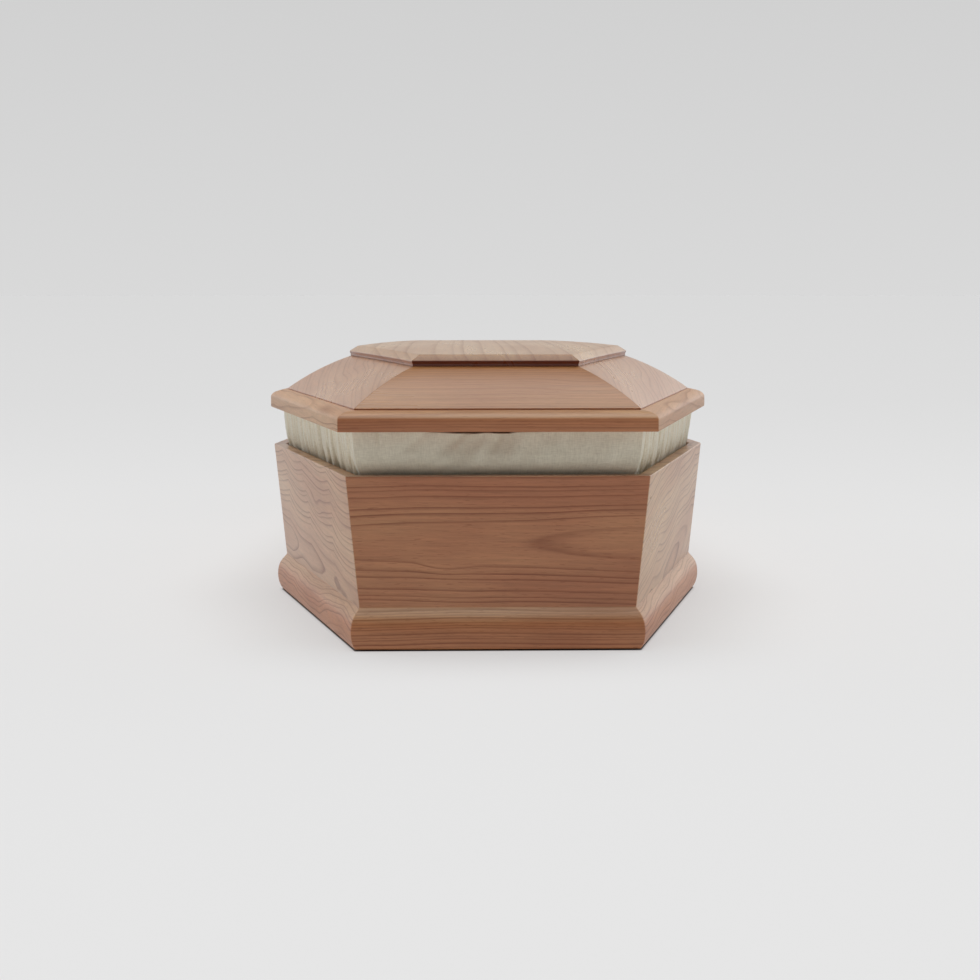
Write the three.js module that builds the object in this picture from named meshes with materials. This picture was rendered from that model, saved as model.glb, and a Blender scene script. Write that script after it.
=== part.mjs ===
// A full-size wooden coffin of shouldered, six-sided plan, with its lid raised on the padded lining.
// Millimetres, +Z up. The head end faces -Y and the foot end +Y. The origin is at the middle of the
// underside. Left is -X and right is +X, as seen from the head end.
import * as THREE from 'three';

// Plan of the box at its rim.
const boxLength = 2000;
const headHalfWidth = 196.5;
const shoulderHalfWidth = 330;
const footHalfWidth = 145;
const shoulderFromHead = 525;

// Box walls and floor. The batter is how far a wall leans out for each millimetre of height.
const rimHeight = 227;
const boardThickness = 18;
const sideBatter = 0.1;
const endBatter = 0.019;
const floorThickness = 18;
const shadowGap = 2;

// Base moulding: an elliptical nose on the walls' outer faces, let into a shallow housing.
const plinthTop = 53;
const housingDepth = 1;
const plinthReach = 14.2;
const noseHeight = 25.5;
const noseHalfHeight = 27.6;
const noseSteps = 8;

// Lid. Its plan is the box's, a little fuller at the head corners.
const lidUnderside = 284;
const headFullness = 6;
const lidOverhang = 4.6;
const rimFaceTop = 299.2;
const rimCrest = 310.7;
const rimRoundWidth = 26;
const rimWidth = 43;
const rimSteps = 6;

// Sloping boards of the lid. Each rests on the rim, with a short upright riser, and carries the panel.
// The lean is how far out the camber goes for each millimetre that it rises.
const riser = 2;
const slopeSpan = 94.7;
const slopeCamber = 3.5;
const camberLean = 0.5;
const slopeLip = 7;
const panelSeat = 20;
const seatThickness = 9;
const slopeSteps = 6;

// Raised panel, described at its head end. Lengthwise the lid's crown is a shallow parabola.
const panelUnderside = 362.9;
const panelEdgeTop = 370.7;
const panelTop = 378.5;
const panelUndercut = 1.4;
const panelBevel = 13;
const crestFromHead = 235;
const footFall = 39;
const archStep = 185;

// Padded lining inside the walls. It stands up to the underside of the lid, a little lower at the ends.
const liningClearance = 3.5;
const liningThickness = 13;
const liningTop = 283.7;
const endLiningTop = 281.5;
const cushionThickness = 14;

// Clearance between neighbouring pieces.
const jointGap = 0.3;

const headY = -boxLength / 2;
const footY = boxLength / 2;
const shoulderY = headY + shoulderFromHead;

const finishes = {
  box: { color: 0x9a7159, roughness: 0.55, metalness: 0 },
  moulding: { color: 0x8d634b, roughness: 0.5, metalness: 0 },
  lid: { color: 0xb08b74, roughness: 0.5, metalness: 0 },
  lining: { color: 0xc3bda8, roughness: 0.95, metalness: 0 },
};

// Corners of the six-sided plan, with its end walls moved out by `end` and its side walls by `side`.
// They run head left, head right, shoulder right, foot right, foot left, shoulder left.
function planCorners(end, side, fullness = 0) {
  const headHalf = headHalfWidth + fullness;
  const flare = Math.atan2(shoulderHalfWidth - headHalf, shoulderFromHead);
  const taper = Math.atan2(shoulderHalfWidth - footHalfWidth, boxLength - shoulderFromHead);
  const headX = headHalf + (side - Math.sin(flare) * end) / Math.cos(flare);
  const footX = footHalfWidth + (side - Math.sin(taper) * end) / Math.cos(taper);
  const spread = side / (1 + Math.cos(flare + taper));
  const shoulderX = shoulderHalfWidth + spread * (Math.cos(flare) + Math.cos(taper));
  const shoulderLine = shoulderY + spread * (Math.sin(taper) - Math.sin(flare));
  return [
    new THREE.Vector2(-headX, headY - end),
    new THREE.Vector2(headX, headY - end),
    new THREE.Vector2(shoulderX, shoulderLine),
    new THREE.Vector2(footX, footY + end),
    new THREE.Vector2(-footX, footY + end),
    new THREE.Vector2(-shoulderX, shoulderLine),
  ];
}

// The box's outline at height z, moved out by `out` from the leaning walls' outer faces.
function boxCorners(out, z) {
  const drop = rimHeight - z;
  return planCorners(out - endBatter * drop, out - sideBatter * drop);
}

// The base moulding's back lies in the housing and follows the leaning wall. Its nose is measured from
// the wall's face at the moulding's top edge.
function plinthCorners(out, z) {
  if (out === 0) {
    return boxCorners(jointGap - housingDepth, z);
  }
  const drop = rimHeight - plinthTop;
  return planCorners(out - endBatter * drop, out - sideBatter * drop);
}

// The lid's outline moved out by `out`.
function lidCorners(out) {
  return planCorners(out, out, headFullness);
}

// Height of the lid's crown at y, measured from its height at the panel's head edge.
const panelInset = rimRoundWidth - lidOverhang + jointGap + slopeSpan;

function crown(y) {
  const crestY = headY + crestFromHead;
  const bow = footFall / (footY - panelInset - crestY) ** 2;
  return bow * ((headY + panelInset - crestY) ** 2 - (y - crestY) ** 2);
}

// A point on a wall, a share `along` of the way from its last corner back to its first. Both ends are
// pulled in by half the joint gap.
function pointOnWall(corners, wall, along) {
  const first = corners[wall];
  const last = corners[(wall + 1) % corners.length];
  const setback = jointGap / 2 / first.distanceTo(last);
  return last.clone().lerp(first, setback + along * (1 - 2 * setback));
}

// A board or moulding, mitred at both ends. In its section x is the distance out and y the height.
// `lift` gives how far a point at height z rises with the lid's crown, as a share.
function mitredLength(section, wall, cornersAt, lift = null) {
  const corners = cornersAt(0, rimHeight);
  const length = corners[wall].distanceTo(corners[(wall + 1) % corners.length]);
  const steps = lift === null ? 1 : Math.ceil(length / archStep);
  const shape = new THREE.Shape(section);
  const geometry = new THREE.ExtrudeGeometry(shape, { depth: 1, steps, bevelEnabled: false });
  const position = geometry.attributes.position;
  for (let i = 0; i < position.count; i += 1) {
    const out = position.getX(i);
    const z = position.getY(i);
    const point = pointOnWall(cornersAt(out, z), wall, position.getZ(i));
    const rise = lift === null ? 0 : lift(z) * crown(point.y);
    position.setXYZ(i, point.x, point.y, z + rise);
  }
  geometry.computeVertexNormals();
  return geometry;
}

// A slab with the six-sided plan, stacked from outlines that each have six corners and a height.
function slab(outlines, crowned = false) {
  const shoulderSteps = crowned ? Math.ceil(shoulderFromHead / archStep) : 1;
  const longSteps = crowned ? Math.ceil((boxLength - shoulderFromHead) / archStep) : 1;
  const stations = shoulderSteps + longSteps;
  const layers = outlines.length - 1;
  const geometry = new THREE.BoxGeometry(2, stations, layers, 1, stations, layers);
  const position = geometry.attributes.position;
  for (let i = 0; i < position.count; i += 1) {
    const station = Math.round(position.getY(i) + stations / 2);
    const outline = outlines[Math.round(position.getZ(i) + layers / 2)];
    const [, head, shoulder, foot] = outline.corners;
    const onShoulder = station <= shoulderSteps;
    const share = onShoulder ? station / shoulderSteps : (station - shoulderSteps) / longSteps;
    const edge = onShoulder ? head.clone().lerp(shoulder, share) : shoulder.clone().lerp(foot, share);
    const rise = crowned ? crown(edge.y) : 0;
    position.setXYZ(i, position.getX(i) * edge.x, edge.y, outline.z + rise);
  }
  geometry.computeVertexNormals();
  return geometry;
}

function rectangle(outer, inner, bottom, top) {
  return [
    new THREE.Vector2(outer, bottom),
    new THREE.Vector2(outer, top),
    new THREE.Vector2(inner, top),
    new THREE.Vector2(inner, bottom),
  ];
}

// Section of a wall board, with the housing for the base moulding cut into its outer face.
function boardSection() {
  return [
    new THREE.Vector2(-housingDepth, shadowGap),
    new THREE.Vector2(-housingDepth, plinthTop + jointGap),
    new THREE.Vector2(0, plinthTop + jointGap),
    new THREE.Vector2(0, rimHeight),
    new THREE.Vector2(-boardThickness, rimHeight),
    new THREE.Vector2(-boardThickness, shadowGap),
  ];
}

function plinthSection() {
  const section = [new THREE.Vector2(0, plinthTop), new THREE.Vector2(0, shadowGap)];
  for (let step = 0; step <= noseSteps; step += 1) {
    const z = THREE.MathUtils.lerp(shadowGap, plinthTop, step / noseSteps);
    const level = (z - noseHeight) / noseHalfHeight;
    section.push(new THREE.Vector2(plinthReach * Math.sqrt(1 - level * level), z));
  }
  return section;
}

function rimSection() {
  const section = [
    new THREE.Vector2(lidOverhang - rimWidth, lidUnderside),
    new THREE.Vector2(lidOverhang, lidUnderside),
  ];
  for (let step = 0; step <= rimSteps; step += 1) {
    const turn = (Math.PI / 2) * (step / rimSteps);
    const out = lidOverhang - rimRoundWidth * (1 - Math.cos(turn));
    const z = rimFaceTop + (rimCrest - rimFaceTop) * Math.sin(turn);
    section.push(new THREE.Vector2(out, z));
  }
  section.push(new THREE.Vector2(lidOverhang - rimWidth, rimCrest));
  return section;
}

// A cambered line from (lowOut, lowZ) to (highOut, highZ), both ends included.
function camberedLine(lowOut, lowZ, highOut, highZ) {
  const points = [];
  for (let step = 0; step <= slopeSteps; step += 1) {
    const share = step / slopeSteps;
    const bulge = 4 * slopeCamber * share * (1 - share);
    const out = THREE.MathUtils.lerp(lowOut, highOut, share) + camberLean * bulge;
    const z = THREE.MathUtils.lerp(lowZ, highZ, share) + bulge;
    points.push(new THREE.Vector2(out, z));
  }
  return points;
}

// Section of a sloping board: its seat on the rim, the riser, the cambered face, the seat under the
// panel, and the cambered inner face, which ends in a lip inside the rim.
const slopeFoot = lidOverhang - rimRoundWidth - jointGap;
const slopeHead = slopeFoot - slopeSpan;
const slopeBottom = rimCrest + jointGap;
const slopeTop = panelUnderside - jointGap;

function slopeSection() {
  const lipOut = lidOverhang - rimWidth - jointGap;
  const face = camberedLine(slopeFoot, slopeBottom + riser, slopeHead, slopeTop);
  const inside = camberedLine(lipOut, slopeBottom - slopeLip, slopeHead - panelSeat, slopeTop - seatThickness);
  return [
    new THREE.Vector2(lipOut, slopeBottom),
    new THREE.Vector2(slopeFoot, slopeBottom),
    ...face,
    new THREE.Vector2(slopeHead - panelSeat, slopeTop),
    ...inside.reverse(),
  ];
}

// The seat on the rim stays level, and the rest follows the crown in proportion to its height.
function slopeLift(z) {
  return THREE.MathUtils.clamp((z - slopeBottom - riser) / (slopeTop - slopeBottom - riser), 0, 1);
}

const coffin = new THREE.Group();

function add(name, geometry, finish) {
  const mesh = new THREE.Mesh(geometry, new THREE.MeshStandardMaterial(finishes[finish]));
  mesh.name = name;
  coffin.add(mesh);
}

const wallBoards = [
  'head_board',
  'shoulder_board_right',
  'long_board_right',
  'foot_board',
  'long_board_left',
  'shoulder_board_left',
];
const wallNames = ['head', 'shoulder_right', 'long_right', 'foot', 'long_left', 'shoulder_left'];
const liningOut = -boardThickness - liningClearance;
const liningIn = liningOut - liningThickness;
const liningBottom = floorThickness + jointGap;

wallNames.forEach((name, wall) => {
  const isEnd = name === 'head' || name === 'foot';
  const top = isEnd ? endLiningTop : liningTop;
  const liningSection = rectangle(liningOut, liningIn, liningBottom, top);
  add(wallBoards[wall], mitredLength(boardSection(), wall, boxCorners), 'box');
  add(`plinth_${name}`, mitredLength(plinthSection(), wall, plinthCorners), 'moulding');
  add(`lid_rim_${name}`, mitredLength(rimSection(), wall, lidCorners), 'moulding');
  add(`lid_slope_${name}`, mitredLength(slopeSection(), wall, lidCorners, slopeLift), 'lid');
  add(`lining_${name}`, mitredLength(liningSection, wall, boxCorners), 'lining');
});

const floorOut = -boardThickness - jointGap;
const floorOutlines = [0, floorThickness].map((z) => ({ corners: boxCorners(floorOut, z), z }));
add('bottom_board', slab(floorOutlines), 'box');

const cushionOut = liningIn - jointGap;
const cushionOutlines = [liningBottom, liningBottom + cushionThickness].map((z) => (
  { corners: boxCorners(cushionOut, z), z }
));
add('lining_base', slab(cushionOutlines), 'lining');

const panelOutlines = [
  { corners: lidCorners(-panelInset), z: panelUnderside },
  { corners: lidCorners(panelUndercut - panelInset), z: panelEdgeTop },
  { corners: lidCorners(panelUndercut - panelInset - panelBevel), z: panelTop },
];
add('lid_top_panel', slab(panelOutlines, true), 'lid');

export default coffin;
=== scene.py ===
"""The looks of a shouldered wooden coffin with a pleated cloth lining, seen from its head end.

Metres, +Z up. The head end faces -Y and the foot end +Y. Left is -X and right is +X, as seen from the
head end.
"""
import math

import bpy
import numpy as np
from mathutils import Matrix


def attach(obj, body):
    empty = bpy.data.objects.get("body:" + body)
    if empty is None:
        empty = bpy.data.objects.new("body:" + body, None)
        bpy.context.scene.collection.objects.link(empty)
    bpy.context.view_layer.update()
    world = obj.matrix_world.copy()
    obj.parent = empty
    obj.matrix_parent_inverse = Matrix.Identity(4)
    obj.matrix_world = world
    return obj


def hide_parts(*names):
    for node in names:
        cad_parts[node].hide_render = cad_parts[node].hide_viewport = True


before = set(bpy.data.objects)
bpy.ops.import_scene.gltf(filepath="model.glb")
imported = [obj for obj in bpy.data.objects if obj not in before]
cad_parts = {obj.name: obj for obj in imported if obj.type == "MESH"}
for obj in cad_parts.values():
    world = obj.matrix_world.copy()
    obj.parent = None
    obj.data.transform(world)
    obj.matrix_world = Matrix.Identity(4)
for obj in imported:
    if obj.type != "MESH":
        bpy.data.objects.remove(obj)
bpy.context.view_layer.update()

# Plan of the box at its rim.
BOX_LENGTH = 2.000
HEAD_HALF_WIDTH = 0.1965
SHOULDER_HALF_WIDTH = 0.330
FOOT_HALF_WIDTH = 0.145
SHOULDER_FROM_HEAD = 0.525

# Box walls and floor.
RIM_HEIGHT = 0.227
BOARD_THICKNESS = 0.018
SIDE_BATTER = 0.1
END_BATTER = 0.019
FLOOR_THICKNESS = 0.018
SHADOW_GAP = 0.002

# Base moulding.
PLINTH_TOP = 0.053
HOUSING_DEPTH = 0.001
PLINTH_REACH = 0.0142
NOSE_HEIGHT = 0.0255
NOSE_HALF_HEIGHT = 0.0276

# Lid.
LID_UNDERSIDE = 0.284
HEAD_FULLNESS = 0.006
LID_OVERHANG = 0.0046
RIM_FACE_TOP = 0.2992
RIM_CREST = 0.3107
RIM_ROUND_WIDTH = 0.026
RIM_WIDTH = 0.043
RISER = 0.002
SLOPE_SPAN = 0.0947
SLOPE_CAMBER = 0.0035
CAMBER_LEAN = 0.5
SLOPE_LIP = 0.007
PANEL_SEAT = 0.020
SEAT_THICKNESS = 0.009
PANEL_UNDERSIDE = 0.3629
PANEL_EDGE_TOP = 0.3707
PANEL_TOP = 0.3785
PANEL_UNDERCUT = 0.0014
PANEL_BEVEL = 0.013
PANEL_LIP = 0.0016
PANEL_HOLLOW = 0.0006
CREST_FROM_HEAD = 0.235
FOOT_FALL = 0.039

# Lining pads.
LINING_CLEARANCE = 0.0035
LINING_THICKNESS = 0.013
LINING_TOP = 0.2837
CUSHION_THICKNESS = 0.014

# The construction's clearance between pieces, and how near glued faces come here, so that no gap shows.
JOINT_GAP = 0.0003
TOUCH = 0.00002
HEAD_Y = -BOX_LENGTH / 2
FOOT_Y = BOX_LENGTH / 2
SHOULDER_Y = HEAD_Y + SHOULDER_FROM_HEAD
PANEL_INSET = RIM_ROUND_WIDTH - LID_OVERHANG + JOINT_GAP + SLOPE_SPAN

# A board's figure: how strong its waves are, how quickly they follow each other, how narrow its rings are,
# how many rings deep its scallops hang and how much painted sheen makes its wood paler.
PLAIN_FIGURE = (1.0, 1.0, 1.0, 0.0, 0.0)

WALLS = ["head", "shoulder_right", "long_right", "foot", "long_left", "shoulder_left"]
BOARDS = ["head_board", "shoulder_board_right", "long_board_right",
          "foot_board", "long_board_left", "shoulder_board_left"]


# Outlines, the same as the construction's.
def plan_corners(end, side, fullness=0.0):
    """Corners of the six-sided plan, its end walls moved out by end and its side walls by side."""
    head_half = HEAD_HALF_WIDTH + fullness
    flare = math.atan2(SHOULDER_HALF_WIDTH - head_half, SHOULDER_FROM_HEAD)
    taper = math.atan2(SHOULDER_HALF_WIDTH - FOOT_HALF_WIDTH, BOX_LENGTH - SHOULDER_FROM_HEAD)
    head_x = head_half + (side - math.sin(flare) * end) / math.cos(flare)
    foot_x = FOOT_HALF_WIDTH + (side - math.sin(taper) * end) / math.cos(taper)
    spread = side / (1 + math.cos(flare + taper))
    shoulder_x = SHOULDER_HALF_WIDTH + spread * (math.cos(flare) + math.cos(taper))
    shoulder_line = SHOULDER_Y + spread * (math.sin(taper) - math.sin(flare))
    return np.array([
        (-head_x, HEAD_Y - end),
        (head_x, HEAD_Y - end),
        (shoulder_x, shoulder_line),
        (foot_x, FOOT_Y + end),
        (-foot_x, FOOT_Y + end),
        (-shoulder_x, shoulder_line),
    ])


def box_corners(out, z):
    drop = RIM_HEIGHT - z
    return plan_corners(out - END_BATTER * drop, out - SIDE_BATTER * drop)


def plinth_corners(out, z):
    if out == 0:
        return box_corners(JOINT_GAP - HOUSING_DEPTH, z)
    drop = RIM_HEIGHT - PLINTH_TOP
    return plan_corners(out - END_BATTER * drop, out - SIDE_BATTER * drop)


def lid_corners(out, z=0.0):
    """The lid's walls don't lean, so its corners are the same at every z."""
    return plan_corners(out, out, HEAD_FULLNESS)


def crown(y):
    """Rise of the lid's lengthwise crown at y, from its height at the panel's head edge."""
    crest = HEAD_Y + CREST_FROM_HEAD
    bow = FOOT_FALL / (FOOT_Y - PANEL_INSET - crest) ** 2
    return bow * ((HEAD_Y + PANEL_INSET - crest) ** 2 - (y - crest) ** 2)


def mix(low, high, share):
    return low + (high - low) * share


def smooth(low, high, value):
    """0 below low, 1 above high, and a smooth step between them."""
    share = np.clip((value - low) / (high - low), 0, 1)
    return share * share * (3 - 2 * share)


# Meshes. A ring of section points is repeated at stations along a wall and closed at both ends.
def wall_points(section, wall, corners_at, shares, lift=None):
    """Points (station, section point, xyz) of a mitred length. section holds (out, z) pairs."""
    first = np.array([corners_at(out, z)[wall] for out, z in section])
    last = np.array([corners_at(out, z)[(wall + 1) % 6] for out, z in section])
    span = last - first
    setback = TOUCH / 2 / np.linalg.norm(span, axis=1)
    along = setback + np.outer(shares, 1 - 2 * setback)
    flat = first + span * along[:, :, None]
    z = np.tile(np.array(section)[:, 1], (len(shares), 1))
    if lift is not None:
        z = z + lift(z) * crown(flat[:, :, 1])
    return np.concatenate([flat, z[:, :, None]], axis=2)


def push_out(points, wall, shares, out):
    """Move the points outwards by out, so that neighbouring walls still meet at their mitre."""
    step = plan_corners(1, 1) - plan_corners(0, 0)
    towards = mix(step[wall], step[(wall + 1) % 6], shares[:, None])
    points[:, :, :2] += out[:, :, None] * towards[:, None, :]


def wall_direction(wall):
    corners = plan_corners(0, 0)
    span = corners[(wall + 1) % 6] - corners[wall]
    return span / np.linalg.norm(span), (corners[wall] + corners[(wall + 1) % 6]) / 2


def wall_length(wall):
    corners = plan_corners(0, 0)
    return float(np.linalg.norm(corners[(wall + 1) % 6] - corners[wall]))


def half_turn(corner):
    """Half the angle through which the outline turns at a corner."""
    before = wall_direction((corner - 1) % 6)[0]
    after = wall_direction(corner)[0]
    return 0.5 * math.acos(float(before @ after))


def finish_mesh(name, mesh, grain, figure, end_grain_and_shade=0.0, sheen_share=1.0):
    """Give a new mesh its place in the wood or weave, point by point, and make it an object.

    sheen_share is the share of the figure's paleness, a painted sheen, that each point has.
    end_grain_and_shade is how much the cut ends take of their dark colour, end grain with painted shade."""
    count = len(mesh.vertices)
    grain = np.asarray(grain, np.float32).reshape(-1)
    waves = np.tile(np.asarray(figure[:3], np.float32), count)
    # Traits: how deep the scallops hang, how dark the cut ends are painted (end grain and painted shade), and
    # the painted sheen.
    traits = np.tile(np.array([figure[3], end_grain_and_shade, figure[4]], np.float32), (count, 1))
    traits[:, 2] *= sheen_share
    mesh.attributes.new("grain", "FLOAT_VECTOR", "POINT").data.foreach_set("vector", grain)
    mesh.attributes.new("figure", "FLOAT_VECTOR", "POINT").data.foreach_set("vector", waves)
    mesh.attributes.new("traits", "FLOAT_VECTOR", "POINT").data.foreach_set("vector", traits.reshape(-1))
    mesh.shade_smooth()
    mesh.set_sharp_from_angle(angle=math.radians(30))
    piece = bpy.data.objects.new(name, mesh)
    bpy.context.scene.collection.objects.link(piece)
    return piece


def ring_mesh(name, points, grain, figure=PLAIN_FIGURE, eased=()):
    """A closed mesh from rings of points. eased names the section points whose long edges are eased."""
    stations, around = points.shape[:2]
    index = np.arange(stations * around).reshape(stations, around)
    turned = np.roll(index, -1, axis=1)
    sides = np.stack([index[:-1], index[1:], turned[1:], turned[:-1]], axis=-1).reshape(-1, 4)
    faces = sides.tolist() + [index[0].tolist(), index[-1][::-1].tolist()]
    mesh = bpy.data.meshes.new(name)
    mesh.from_pydata(points.reshape(-1, 3).tolist(), [], faces)
    if eased:
        ends = np.zeros(len(mesh.edges) * 2, np.int32)
        mesh.edges.foreach_get("vertices", ends)
        place = ends.reshape(-1, 2) % around
        lengthwise = (place[:, 0] == place[:, 1]) & np.isin(place[:, 0], eased)
        weights = mesh.attributes.new("bevel_weight_edge", "FLOAT", "EDGE")
        weights.data.foreach_set("value", lengthwise.astype(np.float32))
    return finish_mesh(name, mesh, grain, figure)


def ease_edges(piece, width, by_weight=True):
    bevel = piece.modifiers.new("eased edges", "BEVEL")
    bevel.width = width
    bevel.segments = 2
    bevel.limit_method = "WEIGHT" if by_weight else "ANGLE"
    bevel.angle_limit = math.radians(32)
    bevel.harden_normals = True


def dress(piece, node, material):
    """The piece stands for a node of the frame and moves with the whole coffin."""
    piece.data.materials.append(material)
    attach(piece, "root")
    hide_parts(node)


# Each board is cut from a log. Where in the log it lies gives its grain: how far the log's heart is from
# the board's middle, across its width and behind its face, how these change along the board, and how far
# along the log it was cut. Then comes its figure.
def in_log(along, across, out, cut):
    heart_across, heart_depth, drift_across, drift_depth, start = cut
    return np.stack([
        along + start,
        across - heart_across - drift_across * along,
        out + heart_depth + drift_depth * along,
    ], axis=-1)


LOG = {
    "head_board": ((0.138, 0.0414, -0.013, -0.037, 0.0), (0.80, 1.0, 0.72, 0.0, 0.0)),
    "shoulder_board_right": ((0.060, 0.035, 0.16, 0.05, 3.1), (1.6, 1.3, 0.62, 1.4, 1.2)),
    "long_board_right": ((0.130, 0.055, -0.010, 0.020, 5.3), (1.2, 1.4, 1.0, 0.6, 1.0)),
    "foot_board": ((0.145, 0.045, 0.02, 0.020, 8.2), (0.5, 1.0, 0.8, 0.0, 0.0)),
    "long_board_left": ((0.150, 0.050, 0.008, -0.022, 11.4), (1.2, 1.4, 1.0, 0.6, 1.0)),
    "shoulder_board_left": ((0.075, 0.030, -0.06, 0.03, 14.7), (1.5, 1.3, 0.60, 1.9, 1.0)),
    "bottom_board": ((0.03, 0.060, 0.01, 0.01, 17.0), (1.2, 1.0, 1.0, 0.0, 0.0)),
    "plinth_head": ((0.330, 0.080, -0.010, 0.060, 19.2), (0.5, 1.0, 1.4, 0.0, 0.0)),
    "plinth_shoulder_right": ((0.080, 0.060, 0.03, 0.05, 21.0), (1.1, 1.8, 1.1, 0.8, 0.0)),
    "plinth_long_right": ((0.010, 0.060, 0.01, 0.02, 23.5), (1.0, 1.4, 1.0, 0.3, 0.0)),
    "plinth_foot": ((0.340, 0.080, 0.01, 0.04, 26.1), (0.5, 1.0, 1.6, 0.0, 0.0)),
    "plinth_long_left": ((0.090, 0.060, -0.01, 0.02, 28.4), (1.0, 1.4, 1.0, 0.3, 0.0)),
    "plinth_shoulder_left": ((0.090, 0.055, -0.03, 0.05, 31.2), (1.1, 1.8, 1.1, 0.8, 0.0)),
    "lid_rim_head": ((0.020, 0.090, 0.004, 0.010, -32.7), (0.4, 1.0, 1.3, 0.0, 0.0)),
    "lid_rim_shoulder_right": ((0.240, 0.060, 0.02, 0.06, -30.9), (0.7, 1.3, 0.8, 0.4, 1.1)),
    "lid_rim_long_right": ((0.240, 0.070, 0.00, 0.02, -28.4), (1.0, 1.4, 1.0, 0.3, 0.5)),
    "lid_rim_foot": ((0.030, 0.080, 0.00, 0.01, -25.8), (0.4, 1.0, 1.5, 0.0, 0.0)),
    "lid_rim_long_left": ((0.245, 0.070, 0.00, -0.02, -23.1), (1.0, 1.4, 1.0, 0.3, 0.5)),
    "lid_rim_shoulder_left": ((0.240, 0.060, -0.02, -0.06, -20.7), (0.7, 1.3, 0.8, 0.4, 1.3)),
    "lid_slope_head": ((-0.040, 0.120, 0.004, 0.010, -18.6), (0.7, 1.0, 0.8, 0.0, 0.0)),
    "lid_slope_shoulder_right": ((0.300, 0.060, 0.20, 0.12, -16.2), (0.8, 1.2, 0.7, 0.3, 0.0)),
    "lid_slope_long_right": ((0.220, 0.070, 0.01, 0.02, -13.9), (1.2, 1.4, 0.9, 0.3, 0.0)),
    "lid_slope_foot": ((-0.060, 0.110, 0.00, 0.01, -11.0), (0.7, 1.0, 0.8, 0.0, 0.0)),
    "lid_slope_long_left": ((0.220, 0.070, -0.01, 0.02, -8.3), (1.2, 1.4, 0.9, 0.3, 0.0)),
    "lid_slope_shoulder_left": ((0.300, 0.060, -0.20, -0.12, -5.7), (0.8, 1.2, 0.7, 0.3, 0.0)),
    "lid_top_panel": ((-0.260, 0.160, 0.01, 0.01, -2.8), (0.25, 0.7, 0.30, 0.0, 2.3)),
}


# Knots that bend the rings round them: their place in the log, their size and how many rings they push.
# Places along the log are shortened, so that a knot reaches further along the grain than across it.
KNOT_SHORTENING = 0.5
KNOTS = (
    ((-0.066, -0.024, 0.0438), 0.024, -0.85),
    ((14.73, 0.087, 0.031), 0.030, 2.2),
    ((-5.68, -0.075, 0.058), 0.060, 2.2),
    ((-16.20, -0.079, 0.060), 0.060, 1.6),
    ((-18.48, 0.262, 0.120), 0.040, 1.2),
)


# Sections across a wall, as (out, z) points that run counter-clockwise, with the points of the outer face.
def board_section():
    return [
        (0.0, PLINTH_TOP + JOINT_GAP),
        (0.0, RIM_HEIGHT),
        (-BOARD_THICKNESS, RIM_HEIGHT),
        (-BOARD_THICKNESS, SHADOW_GAP),
        (-HOUSING_DEPTH, SHADOW_GAP),
        (-HOUSING_DEPTH, PLINTH_TOP + JOINT_GAP),
    ]


# The base moulding's outer line from its nose up to where it dies into the board, as (z, out).
PLINTH_SHOULDER = (
    (0.0255, 0.01420), (0.0320, 0.01375), (0.0380, 0.01245), (0.0430, 0.01025), (0.0470, 0.00755),
    (0.0500, 0.00500), (0.0525, 0.00270), (0.0540, 0.00120), (0.0552, 0.00035), (0.0560, 0.00002),
)


def plinth_section(steps=24):
    nose = []
    for z in np.linspace(SHADOW_GAP, NOSE_HEIGHT, steps + 1):
        level = (z - NOSE_HEIGHT) / NOSE_HALF_HEIGHT
        nose.append((PLINTH_REACH * math.sqrt(1 - level * level), z))
    heights, outs = zip(*PLINTH_SHOULDER)
    dense = np.linspace(heights[0], heights[-1], 2 * steps + 1)
    line = np.interp(dense, heights, outs)
    for _ in range(6):
        line[1:-1] = (line[:-2] + 2 * line[1:-1] + line[2:]) / 4
    shoulder = list(zip(line[1:], dense[1:]))
    ridge = PLINTH_TOP + JOINT_GAP
    return [(0, ridge), (0, SHADOW_GAP)] + nose + shoulder + [(TOUCH, ridge)]


def rim_section(steps=24, ease=0.0012):
    outer = LID_OVERHANG
    inner = LID_OVERHANG - RIM_WIDTH
    round_over = []
    for turn in np.linspace(0, math.pi / 2, steps + 1):
        round_over.append((outer - RIM_ROUND_WIDTH * (1 - math.cos(turn)),
                           RIM_FACE_TOP + (RIM_CREST - RIM_FACE_TOP) * math.sin(turn)))
    arris = [(outer - ease * (1 - math.sin(turn)), LID_UNDERSIDE + ease * (1 - math.cos(turn)))
             for turn in np.linspace(0, math.pi / 2, 5)]
    return [(inner, LID_UNDERSIDE)] + arris + round_over + [(inner, RIM_CREST)]


SLOPE_FOOT = LID_OVERHANG - RIM_ROUND_WIDTH - JOINT_GAP
SLOPE_HEAD = SLOPE_FOOT - SLOPE_SPAN
SLOPE_BOTTOM = RIM_CREST + TOUCH
SLOPE_TOP = PANEL_UNDERSIDE - TOUCH
SLOPE_STEPS = 20


def cambered_line(low, high):
    share = np.linspace(0, 1, SLOPE_STEPS + 1)
    bulge = 4 * SLOPE_CAMBER * share * (1 - share)
    return list(zip(mix(low[0], high[0], share) + CAMBER_LEAN * bulge, mix(low[1], high[1], share) + bulge))


def slope_section():
    lip = LID_OVERHANG - RIM_WIDTH - JOINT_GAP
    face = cambered_line((SLOPE_FOOT, SLOPE_BOTTOM + RISER), (SLOPE_HEAD, SLOPE_TOP))
    seat = SLOPE_HEAD - PANEL_SEAT
    inside = cambered_line((lip, SLOPE_BOTTOM - SLOPE_LIP), (seat, SLOPE_TOP - SEAT_THICKNESS))
    return [(lip, SLOPE_BOTTOM), (SLOPE_FOOT, SLOPE_BOTTOM)] + face + [(seat, SLOPE_TOP)] + inside[::-1]


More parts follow.
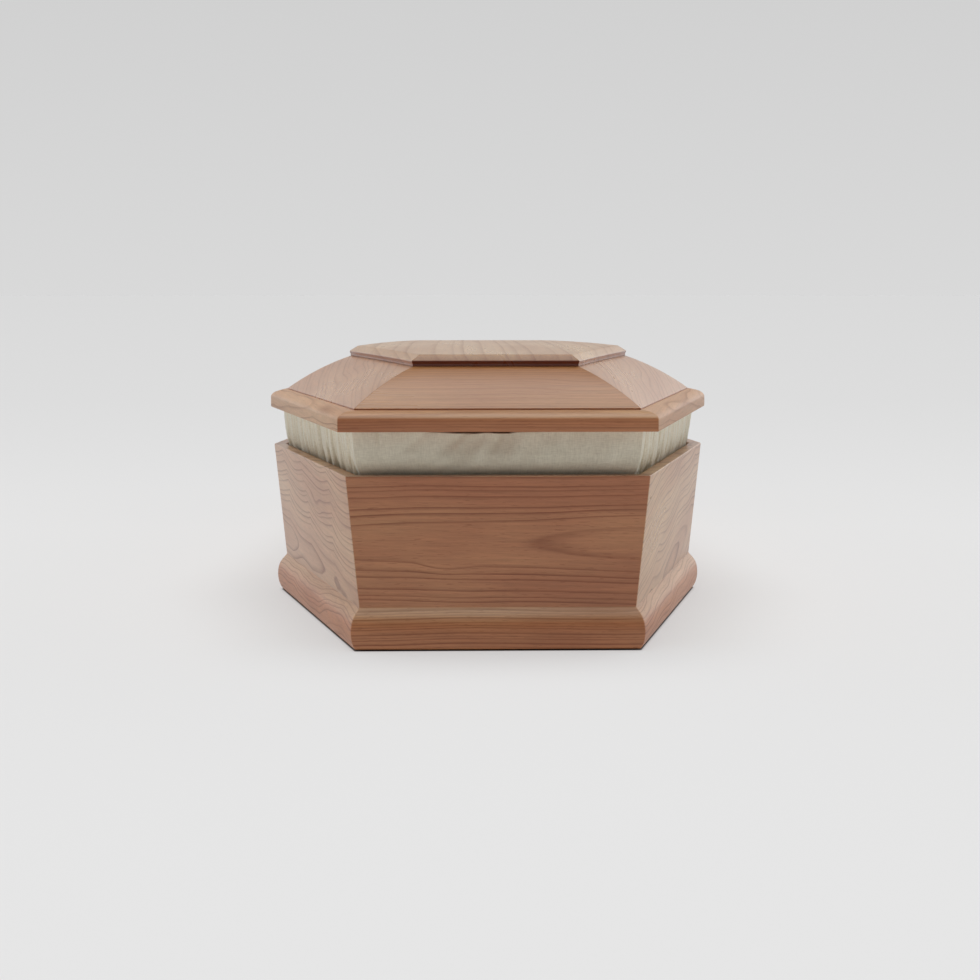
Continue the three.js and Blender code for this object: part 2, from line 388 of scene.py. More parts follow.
def panel_edge(steps=8):
    """The panel's edge from its underside up: a shallow hollow, a thin lip and a bevel with rounded ends."""
    share = np.linspace(0, 1, steps + 1)
    lip = PANEL_EDGE_TOP - PANEL_LIP
    hollow = [(PANEL_UNDERCUT * t - PANEL_HOLLOW * math.sin(math.pi * t), mix(PANEL_UNDERSIDE, lip, t))
              for t in share]
    inner = PANEL_UNDERCUT - PANEL_BEVEL
    turn = 0.0022
    return hollow + [
        (PANEL_UNDERCUT, PANEL_EDGE_TOP - 0.0004),
        (PANEL_UNDERCUT - 0.0006, PANEL_EDGE_TOP + 0.0002),
        (inner + turn, PANEL_TOP - turn * (PANEL_TOP - PANEL_EDGE_TOP) / PANEL_BEVEL),
        (inner + turn * 0.45, PANEL_TOP - 0.0004),
        (inner - turn * 0.4, PANEL_TOP - 0.0001),
        (inner - turn * 1.4, PANEL_TOP),
    ]


def slope_lift(z):
    return np.clip((z - SLOPE_BOTTOM - RISER) / (SLOPE_TOP - SLOPE_BOTTOM - RISER), 0, 1)


MITRE_EASE = 0.0014
BOARD_STEP = 0.04


def mitred_board(name, wall, section, corners_at, face, eased=(), lean=0.0, sink=0.0, lift=None):
    """A board or moulding along a wall, its outer face rounded towards the mitred arrises.

    lean turns its width from upright towards the coffin's middle. sink is how deep its face then lies."""
    length = wall_length(wall)
    near_end = MITRE_EASE * np.array([0, 0.15, 0.35, 0.6, 1.0]) / length
    steps = max(1, int(length / BOARD_STEP)) if lift is not None else 1
    inner = np.linspace(near_end[-1], 1 - near_end[-1], steps + 1)
    shares = np.concatenate([near_end[:-1], inner, 1 - near_end[:-1][::-1]])
    points = wall_points(section, wall, corners_at, shares, lift)
    out, z = np.array(section).T
    direction, middle = wall_direction(wall)
    along = (points[:, :, :2] - middle) @ direction
    across = np.tile(z * math.cos(lean) - out * math.sin(lean), (len(shares), 1))
    depth = np.tile(out * math.cos(lean) + z * math.sin(lean) - sink, (len(shares), 1))
    rounding = np.zeros(len(shares))
    for corner, distance in ((wall, shares * length), ((wall + 1) % 6, (1 - shares) * length)):
        fall = MITRE_EASE / 2 * math.tan(half_turn(corner)) * math.cos(lean)
        rounding -= fall * np.clip(1 - distance / MITRE_EASE, 0, 1) ** 2
    on_face = np.isin(np.arange(len(section)), face)
    push_out(points, wall, shares, np.outer(rounding, on_face))
    cut, figure = LOG[name]
    return ring_mesh(name, points, in_log(along, across, depth, cut), figure, eased)


def plate(name, layers, wood, crowned=False, step=0.04):
    """A six-sided plate from layers of (corners, z), closed below and above by strips across its width."""
    shoulder_steps = int(SHOULDER_FROM_HEAD / step) if crowned else 1
    long_steps = int((BOX_LENGTH - SHOULDER_FROM_HEAD) / step) if crowned else 1
    loops = []
    for corners, z in layers:
        right = [mix(corners[1], corners[2], share) for share in np.arange(shoulder_steps) / shoulder_steps]
        right += [mix(corners[2], corners[3], share) for share in np.arange(long_steps + 1) / long_steps]
        right = np.array(right)
        left = right[::-1] * (-1, 1)
        loop = np.concatenate([right, left])
        height = z + (crown(loop[:, 1]) if crowned else 0 * loop[:, 1])
        loops.append(np.column_stack([loop, height]))
    points = np.array(loops)
    count, around = points.shape[:2]
    index = np.arange(count * around).reshape(count, around)
    turned = np.roll(index, -1, axis=1)
    sides = np.stack([index[:-1], turned[:-1], turned[1:], index[1:]], axis=-1).reshape(-1, 4)
    half = around // 2
    bottom = [[int(index[0, i + 1]), int(index[0, i]), int(index[0, -1 - i]), int(index[0, -2 - i])]
              for i in range(half - 1)]
    top = [[int(index[-1, i]), int(index[-1, i + 1]), int(index[-1, -2 - i]), int(index[-1, -1 - i])]
           for i in range(half - 1)]
    mesh = bpy.data.meshes.new(name)
    mesh.from_pydata(points.reshape(-1, 3).tolist(), [], sides.tolist() + bottom + top)
    cut, figure = wood
    flat = points.reshape(-1, 3)
    grain = in_log(flat[:, 1], flat[:, 0], flat[:, 2] - layers[-1][1], cut)
    # Only the panel's top layers take the painted sheen, and its edge below keeps the wood's own colour.
    sheen_share = smooth(PANEL_EDGE_TOP - 0.0010, PANEL_EDGE_TOP, np.array([z for _, z in layers]))
    return finish_mesh(name, mesh, grain, figure, end_grain_and_shade=1.0, sheen_share=np.repeat(sheen_share, around))


# Materials.
class Nodes:
    """Short names for the nodes of one material or world."""

    def __init__(self, tree):
        self.tree = tree

    def add(self, kind, **settings):
        node = self.tree.nodes.new(kind)
        for key, value in settings.items():
            setattr(node, key, value)
        return node

    def put(self, socket, value):
        if isinstance(value, bpy.types.NodeSocket):
            self.tree.links.new(value, socket)
        elif value is not None:
            socket.default_value = value

    def math(self, operation, a, b=None, c=None, clamp=False):
        node = self.add("ShaderNodeMath", operation=operation, use_clamp=clamp)
        for socket, value in zip(node.inputs, (a, b, c)):
            self.put(socket, value)
        return node.outputs[0]

    def scale(self, vector, factors):
        node = self.add("ShaderNodeVectorMath", operation="MULTIPLY")
        self.put(node.inputs[0], vector)
        node.inputs[1].default_value = factors
        return node.outputs[0]

    def split(self, vector):
        node = self.add("ShaderNodeSeparateXYZ")
        self.put(node.inputs[0], vector)
        return node.outputs[:3]

    def join(self, x, y, z):
        node = self.add("ShaderNodeCombineXYZ")
        for socket, value in zip(node.inputs, (x, y, z)):
            self.put(socket, value)
        return node.outputs[0]

    def noise(self, vector, detail=2.0, roughness=0.5, size=1.0):
        node = self.add("ShaderNodeTexNoise", noise_dimensions="3D")
        self.put(node.inputs["Vector"], vector)
        node.inputs["Scale"].default_value = size
        node.inputs["Detail"].default_value = detail
        node.inputs["Roughness"].default_value = roughness
        return node.outputs["Fac"]

    def remap(self, value, low, high, to_low=0.0, to_high=1.0, kind="SMOOTHSTEP"):
        node = self.add("ShaderNodeMapRange", interpolation_type=kind, clamp=True)
        for socket, number in zip(node.inputs[:5], (value, low, high, to_low, to_high)):
            self.put(socket, number)
        return node.outputs[0]

    def blend(self, share, a, b, kind="MIX"):
        node = self.add("ShaderNodeMix", data_type="RGBA", blend_type=kind)
        self.put(node.inputs[0], share)
        self.put(node.inputs[6], a)
        self.put(node.inputs[7], b)
        return node.outputs[2]


def colour(red, green, blue):
    """A colour given as it shows on a screen, in 0 to 255, as linear light."""
    linear = [((c / 255 + 0.055) / 1.055) ** 2.4 if c > 10 else c / 255 / 12.92 for c in (red, green, blue)]
    return (*linear, 1.0)


RING_WIDTH = 0.0060
SCALLOP_LENGTH = 0.18
# Colour of the plates' cut ends: end grain, painted much darker as painted shade under the panel's undercut
# edge.
SHADED_END_COLOUR = colour(100, 36, 7)
# What full paleness, a painted sheen, adds to each of red, green and blue. Faces that look up are painted
# paler, a painted highlight of the light above.
PAINTED_SHEEN = (0.09, 0.43, 0.60)


def wood(name, earlywood, latewood, warm, roughness, contrast):
    """Satin timber: growth rings round the log's heart, wavy figure, fibres, pores and cloudy tone."""
    material = bpy.data.materials.new(name)
    material.use_nodes = True
    n = Nodes(material.node_tree)
    shader = material.node_tree.nodes["Principled BSDF"]
    place = n.add("ShaderNodeAttribute", attribute_name="grain").outputs["Vector"]
    figure = n.add("ShaderNodeAttribute", attribute_name="figure").outputs["Vector"]
    traits = n.add("ShaderNodeAttribute", attribute_name="traits").outputs["Vector"]
    scallop, end_grain_and_shade, pale = n.split(traits)
    along, across, depth = n.split(place)
    strength, pace, density = n.split(figure)
    squares = n.math("ADD", n.math("MULTIPLY", across, across), n.math("MULTIPLY", depth, depth))
    radius = n.math("SQRT", squares)
    waving = n.join(n.math("MULTIPLY", along, pace), across, depth)
    wander = n.math("SUBTRACT", n.noise(n.scale(waving, (3.4, 8.0, 8.0)), detail=1.0, roughness=0.4), 0.5)
    ripple = n.math("SUBTRACT", n.noise(n.scale(waving, (12.0, 30.0, 30.0)), detail=1.0), 0.5)
    waves = n.math("ADD", n.math("MULTIPLY", wander, 4.0), n.math("MULTIPLY", ripple, 0.35))
    rings = n.math("ADD", n.math("DIVIDE", radius, RING_WIDTH), n.math("MULTIPLY", waves, strength))
    swing = n.math("ADD", n.math("MULTIPLY", along, math.pi / SCALLOP_LENGTH),
                   n.math("MULTIPLY", wander, 3.0))
    hang = n.math("MULTIPLY", n.math("ABSOLUTE", n.math("COSINE", swing)), scallop)
    hang = n.math("MULTIPLY", hang, n.remap(across, 0.0, 0.09, 0.25, 1.0))
    rings = n.math("ADD", rings, hang)
    for knot, size, push in KNOTS:
        away = n.add("ShaderNodeVectorMath", operation="DISTANCE")
        n.put(away.inputs[0], n.scale(place, (KNOT_SHORTENING, 1.0, 1.0)))
        away.inputs[1].default_value = (knot[0] * KNOT_SHORTENING, knot[1], knot[2])
        rings = n.math("ADD", rings, n.remap(away.outputs["Value"], 0.0, size, push, 0.0))
    rings = n.math("MULTIPLY", rings, density)
    uneven = n.math("ADD", n.math("MULTIPLY", n.math("SINE", n.math("MULTIPLY", rings, 1.9)), 0.25),
                    n.math("MULTIPLY", n.math("SINE", n.math("MULTIPLY", rings, 4.3)), 0.10))
    rings = n.math("ADD", rings, uneven)
    phase = n.math("FRACT", rings)
    line = n.math("MULTIPLY",
                  n.math("POWER", n.remap(phase, 0.42, 0.91, kind="LINEAR"), 2.0),
                  n.remap(phase, 0.91, 1.0, 1.0, 0.0))
    which = n.add("ShaderNodeTexWhiteNoise", noise_dimensions="1D")
    n.put(which.inputs["W"], n.math("FLOOR", rings))
    patch = n.noise(n.scale(place, (7.0, 30.0, 30.0)), detail=1.0)
    line = n.math("MULTIPLY", line, n.remap(which.outputs["Value"], 0.0, 1.0, 0.5, 1.0, kind="LINEAR"))
    line = n.math("MULTIPLY", line, n.remap(patch, 0.30, 0.60, 0.6, 1.0))
    fibres = n.noise(n.scale(place, (26.0, 420.0, 420.0)), detail=3.0, roughness=0.7)
    streaks = n.noise(n.scale(place, (4.0, 210.0, 210.0)), detail=2.0, roughness=0.6)
    pores = n.remap(n.noise(n.scale(place, (70.0, 900.0, 900.0)), detail=0.0), 0.66, 0.78)
    cloud = n.noise(n.scale(place, (2.6, 11.0, 11.0)), detail=3.0, roughness=0.55)
    tone = n.blend(n.remap(cloud, 0.32, 0.68), earlywood, warm)
    tone = n.blend(n.math("MULTIPLY", line, contrast), tone, latewood)
    grey = n.remap(n.math("ADD", n.math("MULTIPLY", fibres, 0.5), n.math("MULTIPLY", streaks, 0.5)),
                   0.30, 0.70, 0.84, 1.16, kind="LINEAR")
    tone = n.blend(1.0, tone, grey, "MULTIPLY")
    tone = n.blend(n.math("MULTIPLY", pores, 0.3), tone, latewood)
    # Colour that stands in for the rest of the photo's glancing sheen, on boards marked pale and on faces
    # that look up. It stays on the wood under any light.
    _, ahead, upward = n.split(n.add("ShaderNodeTexCoord").outputs["Normal"])
    sheen_paleness = n.math("MAXIMUM", pale, n.remap(upward, 0.15, 0.75, 0.0, 1.3))
    sheen_tint = n.add("ShaderNodeVectorMath", operation="MULTIPLY_ADD")
    n.put(sheen_tint.inputs[0], n.join(sheen_paleness, sheen_paleness, sheen_paleness))
    sheen_tint.inputs[1].default_value = PAINTED_SHEEN
    sheen_tint.inputs[2].default_value = (1.0, 1.0, 1.0)
    tone = n.blend(1.0, tone, sheen_tint.outputs[0], "MULTIPLY")
    # Cut ends of the plates are painted dark: the end grain's own darkening and painted shade together.
    shaded_cut_end = n.math("MULTIPLY", n.remap(n.math("ABSOLUTE", ahead), 0.32, 0.95), end_grain_and_shade)
    tone = n.blend(n.math("MULTIPLY", shaded_cut_end, 0.95), tone, SHADED_END_COLOUR)
    n.put(shader.inputs["Base Color"], tone)
    rough = n.math("ADD", n.math("MULTIPLY", cloud, 0.10), n.math("MULTIPLY", line, 0.05))
    n.put(shader.inputs["Roughness"], n.math("ADD", rough, roughness - 0.05))
    shader.inputs["IOR"].default_value = 1.46
    relief = n.math("ADD", n.math("MULTIPLY", streaks, 0.5), n.math("MULTIPLY", fibres, 0.2))
    bump = n.add("ShaderNodeBump")
    bump.inputs["Strength"].default_value = 0.2
    bump.inputs["Distance"].default_value = 0.00004
    n.put(bump.inputs["Height"], relief)
    n.put(shader.inputs["Normal"], bump.outputs[0])
    return material


THREAD_PITCH = 0.0011


def cloth(name, light, dark):
    """Matt plain-weave cloth: threads over and under each other, slubs and faint uneven tone."""
    material = bpy.data.materials.new(name)
    material.use_nodes = True
    n = Nodes(material.node_tree)
    shader = material.node_tree.nodes["Principled BSDF"]
    place = n.add("ShaderNodeAttribute", attribute_name="grain").outputs["Vector"]
    along, up, _ = n.split(place)
    turn = math.pi / THREAD_PITCH
    weft = n.math("SINE", n.math("MULTIPLY", along, turn))
    warp = n.math("SINE", n.math("MULTIPLY", up, turn))
    over = n.math("MULTIPLY", weft, warp)
    slub_weft = n.noise(n.scale(place, (120.0, 900.0, 40.0)), detail=1.0)
    slub_warp = n.noise(n.scale(place, (900.0, 120.0, 40.0)), detail=1.0)
    slubs = n.math("MULTIPLY", n.math("ADD", slub_weft, slub_warp), 0.5)
    cloud = n.noise(n.scale(place, (9.0, 14.0, 14.0)), detail=2.0)
    weave = n.math("ADD", n.math("MULTIPLY", over, 0.02),
                   n.math("ADD", n.math("MULTIPLY", slubs, 0.85), n.math("MULTIPLY", cloud, 0.3)))
    n.put(shader.inputs["Base Color"], n.blend(n.remap(weave, 0.35, 0.85, kind="LINEAR"), dark, light))
    n.put(shader.inputs["Roughness"], n.remap(slubs, 0.3, 0.7, 0.86, 0.98, kind="LINEAR"))
    shader.inputs["Sheen Weight"].default_value = 1.0
    shader.inputs["Sheen Roughness"].default_value = 0.45
    shader.inputs["Sheen Tint"].default_value = (0.93, 1.0, 0.96, 1.0)
    shader.inputs["IOR"].default_value = 1.4
    bump = n.add("ShaderNodeBump")
    bump.inputs["Strength"].default_value = 0.35
    bump.inputs["Distance"].default_value = 0.0002
    n.put(bump.inputs["Height"], n.math("ADD", n.math("MULTIPLY", over, 0.15), slubs))
    n.put(shader.inputs["Normal"], bump.outputs[0])
    return material


box_wood = wood("box_wood", colour(188, 131, 92), colour(120, 59, 32), colour(174, 112, 78), 0.29, 0.9)
moulding_wood = wood("moulding_wood", colour(184, 123, 83), colour(122, 61, 30), colour(172, 109, 72),
                     0.40, 0.8)
lid_wood = wood("lid_wood", colour(166, 103, 61), colour(119, 57, 25), colour(156, 91, 52), 0.28, 0.62)
lining_cloth = cloth("lining_cloth", colour(249, 242, 221), colour(213, 204, 182))


# Lining pads: a closed roll of cloth over padding against each wall, gathered in pleats on the long and
# shoulder walls and drawn flat on the ends.
LINING_OUT = -BOARD_THICKNESS - LINING_CLEARANCE
LINING_IN = LINING_OUT - LINING_THICKNESS
LINING_BOTTOM = FLOOR_THICKNESS + JOINT_GAP
PAD_STEP = 0.0015
TOP_ROLL = 0.0012

# How far out the cloth lies at each height above the rim: on a pleat's ridge, in its crease, at the corners
# of the coffin, drawn in where the walls turn at the shoulders, and over the smooth pads at the ends.
LEVELS = (-0.030, 0.0, 0.006, 0.015, 0.026, 0.040, 0.057)
RIDGE = (-0.0190, -0.0186, -0.0176, -0.0168, -0.0164, -0.0166, -0.0172)
CREASE = (-0.0320, -0.0308, -0.0288, -0.0264, -0.0246, -0.0236, -0.0232)
CORNER = (-0.0240, -0.0235, -0.0205, -0.0180, -0.0170, -0.0170, -0.0175)
SHOULDER = (-0.0255, -0.0218, -0.0212, -0.0211, -0.0214, -0.0219, -0.0226)
SMOOTH = (-0.0275, -0.0264, -0.0218, -0.0170, -0.0150, -0.0156, -0.0172)


def layered(line, height):
    return np.interp(height, LEVELS, line)


def wavy(seed, waves, low, high):
    """A seeded smooth random function of one number, about -1 to 1, with that many waves a metre."""
    draw = np.random.default_rng(seed)
    pace = draw.uniform(low, high, waves)
    start = draw.uniform(0, 2 * math.pi, waves)
    size = draw.uniform(0.5, 1.0, waves)

    def at(value):
        total = sum(a * np.sin(2 * math.pi * p * value + s) for a, p, s in zip(size, pace, start))
        return total / size.sum()
    return at


def pleats(seed, length, along, height):
    """How full the gathered cloth stands, 0 in a crease and 1 on a ridge."""
    draw = np.random.default_rng(seed)
    above = np.clip(height / (LINING_TOP - RIM_HEIGHT), 0, 1)
    full = np.ones_like(along)
    for spacing, low_depth, high_depth, low_width, high_width, tilt in (
        (0.034, (0.70, 1.00), (0.30, 0.80), (0.012, 0.018), (0.007, 0.014), 0.10),
        (0.021, (0.15, 0.60), (0.00, 0.25), (0.006, 0.010), (0.004, 0.007), 0.16),
        (0.011, (0.00, 0.25), (0.00, 0.08), (0.003, 0.006), (0.003, 0.004), 0.20),
    ):
        count = int(length / spacing) + 1
        middles = (np.arange(count) - (count - 1) / 2) * spacing + draw.uniform(-0.35, 0.35, count) * spacing
        for middle in middles:
            low, high = draw.uniform(*low_depth), draw.uniform(*high_depth)
            width = mix(draw.uniform(*low_width), draw.uniform(*high_width), above)
            slant = draw.normal(0, tilt)
            bend = draw.normal(0, 0.0015)
            line = middle + slant * height + bend * np.sin(math.pi * above)
            near = np.clip(1 - np.abs(along - line) / width, 0, 1)
            full -= full * mix(low, min(high, low), above) * near ** 2.0
    return full


def sags(along):
    """How far the top of the head lining sags below the lid, 0 to 1: two dips in a shallow slack length."""
    dips = 0.85 * np.exp(-((along + 0.046) / 0.025) ** 2) + np.exp(-((along - 0.006) / 0.014) ** 2)
    return np.clip(dips + 0.40 * np.exp(-((along + 0.022) / 0.088) ** 4), 0, 1)


# Furrows that run down from the dips, as place at the top, lean, half width and depth.
FURROWS = ((-0.052, 0.90, 0.012, 0.0042), (0.004, 0.55, 0.009, 0.0046), (-0.100, 1.20, 0.013, 0.0026))


# A small tuck near one end of the smooth pads, measured along them at the top, and the least padding that
# is left behind the deepest folds.
TUCK_PLACE = -0.168
THINNEST_PAD = 0.0025


def smooth_pad_out(seed, along, height, slack):
    """The drawn-flat cloth: a belly over the rim, soft upright waves, and hollows under the slack top."""
    swell = wavy(seed, 5, 4, 11)
    crumple = wavy(seed + 1, 7, 12, 34)
    folds = wavy(seed + 2, 5, 13, 24)
    high = smooth(0.0, 0.045, height)
    out = layered(SMOOTH, height) + 0.0030 * swell(along + 0.12 * height) * mix(0.6, 1.0, high)
    out += 0.0020 * crumple(along - 0.25 * height) * high
    loose = mix(0.35, 1.0, np.exp(-((along + 0.02) / 0.10) ** 4))
    rolled = smooth(0.002, 0.018, height) * smooth(0.058, 0.030, height)
    out += 0.0060 * loose * folds(along - 0.22 * height) * rolled
    out -= 0.0075 * slack * smooth(0.010, 0.050, height)
    for top_place, lean, width, depth in FURROWS:
        line = top_place - lean * (LINING_TOP - RIM_HEIGHT - height)
        out -= depth * np.exp(-((along - line) / width) ** 2) * smooth(0.004, 0.040, height)
    tuck = np.exp(-((along - TUCK_PLACE - 0.16 * (LINING_TOP - RIM_HEIGHT - height)) / 0.0022) ** 2)
    out -= 0.0032 * tuck * smooth(0.030, 0.052, height)
    return np.maximum(out, LINING_IN + THINNEST_PAD)


def lining_pad(name, wall, gathered, seed):
    length = wall_length(wall)
    stations = int(length / PAD_STEP)
    shares = np.linspace(0, 1, stations)
    top = LINING_TOP
    hidden = np.linspace(LINING_BOTTOM, 0.205, 9)
    shown = np.linspace(0.211, top - TOP_ROLL, 34)
    outer = np.concatenate([hidden, shown])
    turns = np.linspace(0, math.pi, 13)[1:-1]
    roll = top - TOP_ROLL + TOP_ROLL * np.sin(turns) ** 0.5
    inner = np.linspace(top - TOP_ROLL, LINING_BOTTOM, 7)
    section = [(0.0, z) for z in np.concatenate([outer, roll, inner])]
    points = wall_points(section, wall, box_corners, shares)
    direction, middle = wall_direction(wall)
    along = (points[:, :, :2] - middle) @ direction
    height = points[:, :, 2] - RIM_HEIGHT
    slack = sags(along) if name == "lining_head" else 0.4 * sags(along * 0.8 + 0.02)
    if gathered:
        full = pleats(seed, length, along, height)
        front = mix(layered(CREASE, height), layered(RIDGE, height), full)
    else:
        front = smooth_pad_out(seed, along, height, slack)
    end = np.minimum(shares, 1 - shares) * length
    at_shoulder = {"shoulder_right": shares > 0.5, "shoulder_left": shares < 0.5,
                   "long_right": shares < 0.5, "long_left": shares > 0.5}.get(WALLS[wall], shares > 2)
    corner = np.where(at_shoulder[:, None], layered(SHOULDER, height), layered(CORNER, height))
    corner = corner - 0.0006 * (1 - smooth(0, 0.004, end))[:, None]
    reach = 0.016 if gathered else 0.022
    front = mix(corner, front, smooth(0.0, reach, end)[:, None])
    back = np.full_like(front, LINING_IN) + 0.0015 * np.sin(math.pi * np.clip((height + 0.2) / 0.25, 0, 1))
    over_top = 0.5 + 0.5 * np.sign(np.cos(turns)) * np.abs(np.cos(turns)) ** 0.7
    cover = np.concatenate([np.ones(len(outer)), over_top, np.zeros(len(inner))])
    out = mix(back, front, cover)
    push_out(points, wall, shares, out)
    if not gathered:
        lowered = 0.0036 * slack * smooth(0.0, 0.03, end)[:, None]
        points[:, :, 2] -= lowered * smooth(0.030, 0.0565, height)
    girth = np.concatenate([np.zeros((stations, 1)), np.cumsum(np.abs(np.diff(out, axis=1)), axis=1)], axis=1)
    weave_up = np.where(np.arange(len(section)) < len(outer), points[:, :, 2], points[:, :, 2] + girth)
    return ring_mesh(name, points, np.stack([along + wall * 3.0, weave_up, out], axis=-1))


# The base pad: a crowned cushion over the floor, its edge rounded in against the wall pads.
CUSHION_INSETS = (0.0030, 0.0010, 0.0, 0.0004, 0.0016, 0.0040, 0.0080, 0.0150, 0.0260, 0.0420, 0.0620, 0.0850)
CUSHION_RISES = (0.0, 0.0015, 0.0045, 0.0070, 0.0088, 0.0102, 0.0113, 0.0123, 0.0130, 0.0135, 0.0138, 0.0140)


CUSHION_STEP = 0.012
CUSHION_CREASE = 0.0012
# Sets the base pad's weave apart from the wall pads'.
CUSHION_WEAVE = 20.0


def base_pad(name):
    edge = LINING_IN - JOINT_GAP
    corners = [box_corners(edge - inset, LINING_BOTTOM + rise)
               for inset, rise in zip(CUSHION_INSETS, CUSHION_RISES)]
    sides = []
    for wall in range(6):
        count = max(6, int(wall_length(wall) / CUSHION_STEP))
        shares = np.arange(count) / count
        sides.append(np.stack([np.outer(1 - shares, loop[wall]) + np.outer(shares, loop[(wall + 1) % 6])
                               for loop in corners]))
    flat = np.concatenate(sides, axis=1)
    rises = np.array(CUSHION_RISES)[:, None] * np.ones(flat.shape[1])
    wrinkle = wavy(91, 6, 2, 9)
    crease = wavy(92, 6, 3, 12)
    x, y = flat[:, :, 0], flat[:, :, 1]
    soft = CUSHION_CREASE * wrinkle(y + 0.4 * x) * crease(x * 1.3 - y * 0.5)
    z = LINING_BOTTOM + rises - np.abs(soft) * (rises / CUSHION_THICKNESS) ** 2
    points = np.concatenate([flat, z[:, :, None]], axis=2)
    layers, around = points.shape[:2]
    index = np.arange(layers * around).reshape(layers, around)
    turned = np.roll(index, -1, axis=1)
    quads = np.stack([index[:-1], turned[:-1], turned[1:], index[1:]], axis=-1).reshape(-1, 4).tolist()
    mesh = bpy.data.meshes.new(name)
    place = points.reshape(-1, 3)
    mesh.from_pydata(place.tolist(), [], quads + [index[0][::-1].tolist(), index[-1].tolist()])
    weave = np.stack([place[:, 0], place[:, 1], place[:, 2] + CUSHION_WEAVE], axis=-1)
    return finish_mesh(name, mesh, weave, PLAIN_FIGURE)


# How wide the boards', slopes' and plates' arrises are eased.
BOARD_ARRIS = 0.0016
SLOPE_ARRIS = 0.0006
PLATE_ARRIS = 0.0009


def make_coffin():
    slope_lean = math.atan2(SLOPE_SPAN, SLOPE_TOP - SLOPE_BOTTOM)
    slope_sink = SLOPE_FOOT * math.cos(slope_lean) + SLOPE_BOTTOM * math.sin(slope_lean)
    plinth, rim, slope = plinth_section(), rim_section(), slope_section()
    for wall, name in enumerate(WALLS):
        board = mitred_board(BOARDS[wall], wall, board_section(), box_corners, face=[0, 1], eased=[1, 2])
        ease_edges(board, BOARD_ARRIS)
        dress(board, BOARDS[wall], box_wood)
        base = mitred_board("plinth_" + name, wall, plinth, plinth_corners, face=range(2, len(plinth)))
        dress(base, "plinth_" + name, moulding_wood)
        edge = mitred_board("lid_rim_" + name, wall, rim, lid_corners, face=range(1, len(rim) - 1))
        dress(edge, "lid_rim_" + name, moulding_wood)
        top = mitred_board("lid_slope_" + name, wall, slope, lid_corners, face=range(1, 3 + SLOPE_STEPS),
                           eased=[2], lean=slope_lean, sink=slope_sink, lift=slope_lift)
        ease_edges(top, SLOPE_ARRIS)
        dress(top, "lid_slope_" + name, lid_wood)
        pad = lining_pad("lining_" + name, wall, name not in ("head", "foot"), 40 + 7 * wall)
        dress(pad, "lining_" + name, lining_cloth)
    cushion = base_pad("lining_base")
    dress(cushion, "lining_base", lining_cloth)
    floor_out = -BOARD_THICKNESS - JOINT_GAP
    floor_layers = [(box_corners(floor_out, z), z) for z in (0, FLOOR_THICKNESS)]
    bottom = plate("bottom_board", floor_layers, LOG["bottom_board"])
    ease_edges(bottom, PLATE_ARRIS, by_weight=False)
    dress(bottom, "bottom_board", box_wood)
    panel_layers = [(lid_corners(out - PANEL_INSET), z) for out, z in panel_edge()]
    panel = plate("lid_top_panel", panel_layers, LOG["lid_top_panel"], crowned=True)
    ease_edges(panel, PLATE_ARRIS, by_weight=False)
    dress(panel, "lid_top_panel", lid_wood)


make_coffin()


# Studio: a pale floor that runs into a pale backdrop, under a wide soft light.
FLOOR_REACH = 60.0
FLOOR_SIDES = 64
# The share of the floor's brightness that is a painted glow of its own, which keeps the coffin's shadow
# faint. It is masked out under the coffin, within straight lines (slope, half width at the middle) a little
# inside the outline.
FLOOR_GLOW = 0.55
GLOW_HEAD_LINE = (0.2543, 0.4400)
GLOW_FOOT_LINE = (-0.1254, 0.2595)


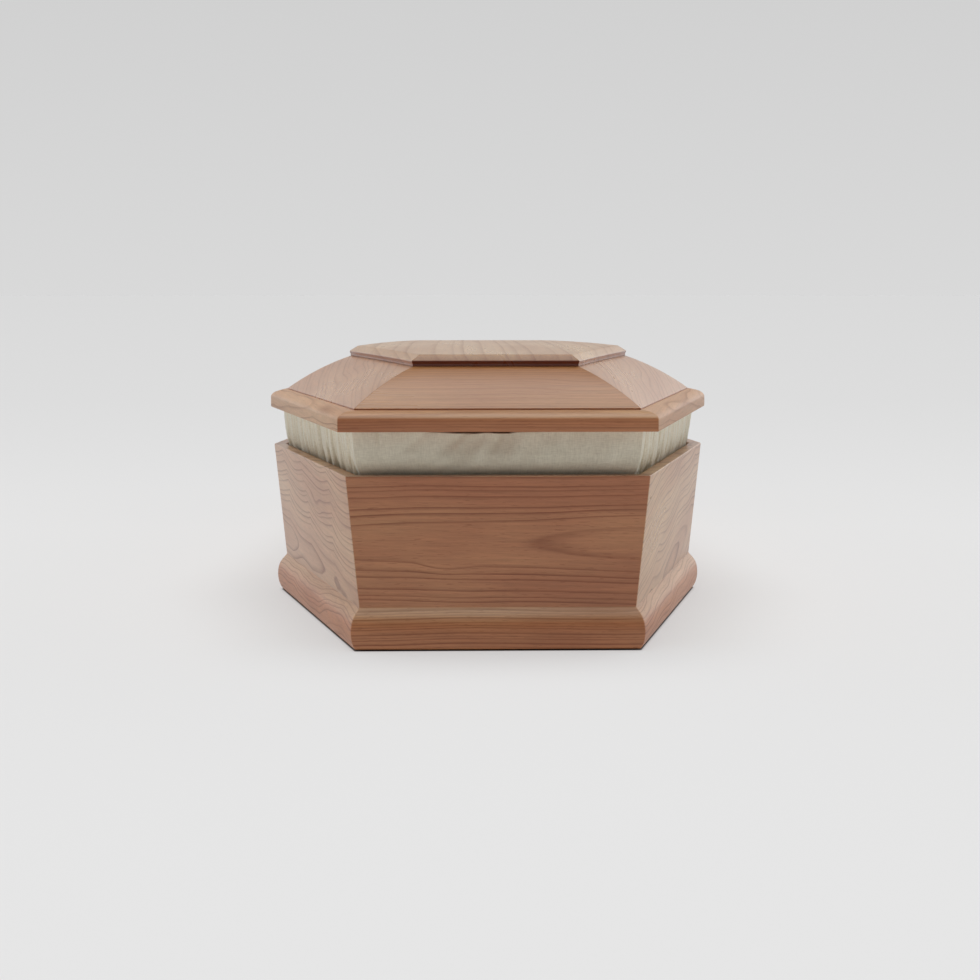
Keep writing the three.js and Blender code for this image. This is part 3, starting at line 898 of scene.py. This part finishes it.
def make_floor():
    mesh = bpy.data.meshes.new("studio_floor")
    turns = np.linspace(0, 2 * math.pi, FLOOR_SIDES + 1)[:-1]
    rim = [(FLOOR_REACH * math.cos(t), FLOOR_REACH * math.sin(t), 0.0) for t in turns]
    mesh.from_pydata(rim, [], [list(range(FLOOR_SIDES))])
    floor = bpy.data.objects.new("studio_floor", mesh)
    bpy.context.scene.collection.objects.link(floor)
    material = bpy.data.materials.new("studio_floor")
    material.use_nodes = True
    n = Nodes(material.node_tree)
    shader = material.node_tree.nodes["Principled BSDF"]
    across, along, _ = n.split(n.add("ShaderNodeNewGeometry").outputs["Position"])
    # The floor's colour is painted darker further back, as painted shade for light falling off away from the
    # coffin.
    back = n.math("MAXIMUM", along, 0.0)
    far = n.math("DIVIDE", back, n.math("ADD", back, 3.0))
    near_fade = n.remap(far, 0.09, 0.60, 0.800, 0.732, kind="LINEAR")
    far_fade = n.remap(far, 0.60, 1.00, 0.0, 0.027, kind="LINEAR")
    pale = n.math("SUBTRACT", near_fade, far_fade)
    n.put(shader.inputs["Base Color"], n.math("MULTIPLY", pale, 1 - FLOOR_GLOW))
    # The floor's painted glow is masked out under the coffin, so the gap under its base stays dark.
    half_width = n.math("MINIMUM", n.math("MULTIPLY_ADD", along, *GLOW_HEAD_LINE),
                        n.math("MULTIPLY_ADD", along, *GLOW_FOOT_LINE))
    beside = n.remap(n.math("SUBTRACT", n.math("ABSOLUTE", across), half_width), 0.0, 0.003)
    beyond = n.remap(n.math("ABSOLUTE", along), 1.0042, 1.0068)
    n.put(shader.inputs["Emission Color"], n.math("MULTIPLY", pale, n.math("MAXIMUM", beside, beyond)))
    shader.inputs["Emission Strength"].default_value = FLOOR_GLOW * 0.97
    shader.inputs["Roughness"].default_value = 1.0
    shader.inputs["Specular IOR Level"].default_value = 0.0
    mesh.materials.append(material)


def make_world():
    """A dark room with pale walls behind the coffin and a wide soft light overhead.

    The camera sees an even backdrop instead, which lights nothing."""
    world = bpy.data.worlds.new("studio")
    world.use_nodes = True
    bpy.context.scene.world = world
    n = Nodes(world.node_tree)
    background = world.node_tree.nodes["Background"]
    x, y, z = n.split(n.add("ShaderNodeTexCoord").outputs["Generated"])
    behind = n.math("MULTIPLY", n.remap(y, -0.6, 0.6), n.remap(z, 0.30, 0.55, 1.0, 0.0))
    flank = n.math("MULTIPLY", n.remap(n.math("ABSOLUTE", x), 0.10, 0.45), n.remap(x, -0.2, 0.2, 0.45, 0.80))
    beside = n.math("MULTIPLY", n.remap(n.math("ABSOLUTE", x), 0.62, 0.85), 0.60)
    walls = n.math("MULTIPLY", behind, n.math("ADD", n.math("ADD", flank, beside), 0.60))
    towards = n.math("ADD", n.math("MULTIPLY", y, 0.087), n.math("MULTIPLY", z, 0.996))
    lamp = n.remap(towards, 0.80, 0.90, 0.0, 2.70)
    light = n.math("ADD", n.math("ADD", walls, lamp), 0.14)
    backdrop = n.math("SUBTRACT", 0.690, n.math("MULTIPLY", z, 0.39))
    seen = n.add("ShaderNodeLightPath").outputs["Is Camera Ray"]
    lit = n.math("MULTIPLY", light, n.math("SUBTRACT", 1.0, seen))
    mixed = n.math("ADD", n.math("MULTIPLY", backdrop, seen), lit)
    n.put(background.inputs["Color"], mixed)
    background.inputs["Strength"].default_value = 1.0


def make_camera():
    data = bpy.data.cameras.new("camera")
    camera = bpy.data.objects.new("camera", data)
    bpy.context.scene.collection.objects.link(camera)
    image_size = 980
    focal_pixels = 2000
    data.sensor_width = 36.0
    data.lens = focal_pixels / image_size * data.sensor_width
    camera.location = (-0.0753, -3.5593, 0.4779)
    camera.rotation_euler = (math.radians(90 - 5.997), 0.0, math.radians(-1.4493))
    bpy.context.scene.camera = camera


make_floor()
make_world()
make_camera()
bpy.context.scene.view_settings.view_transform = "Standard"
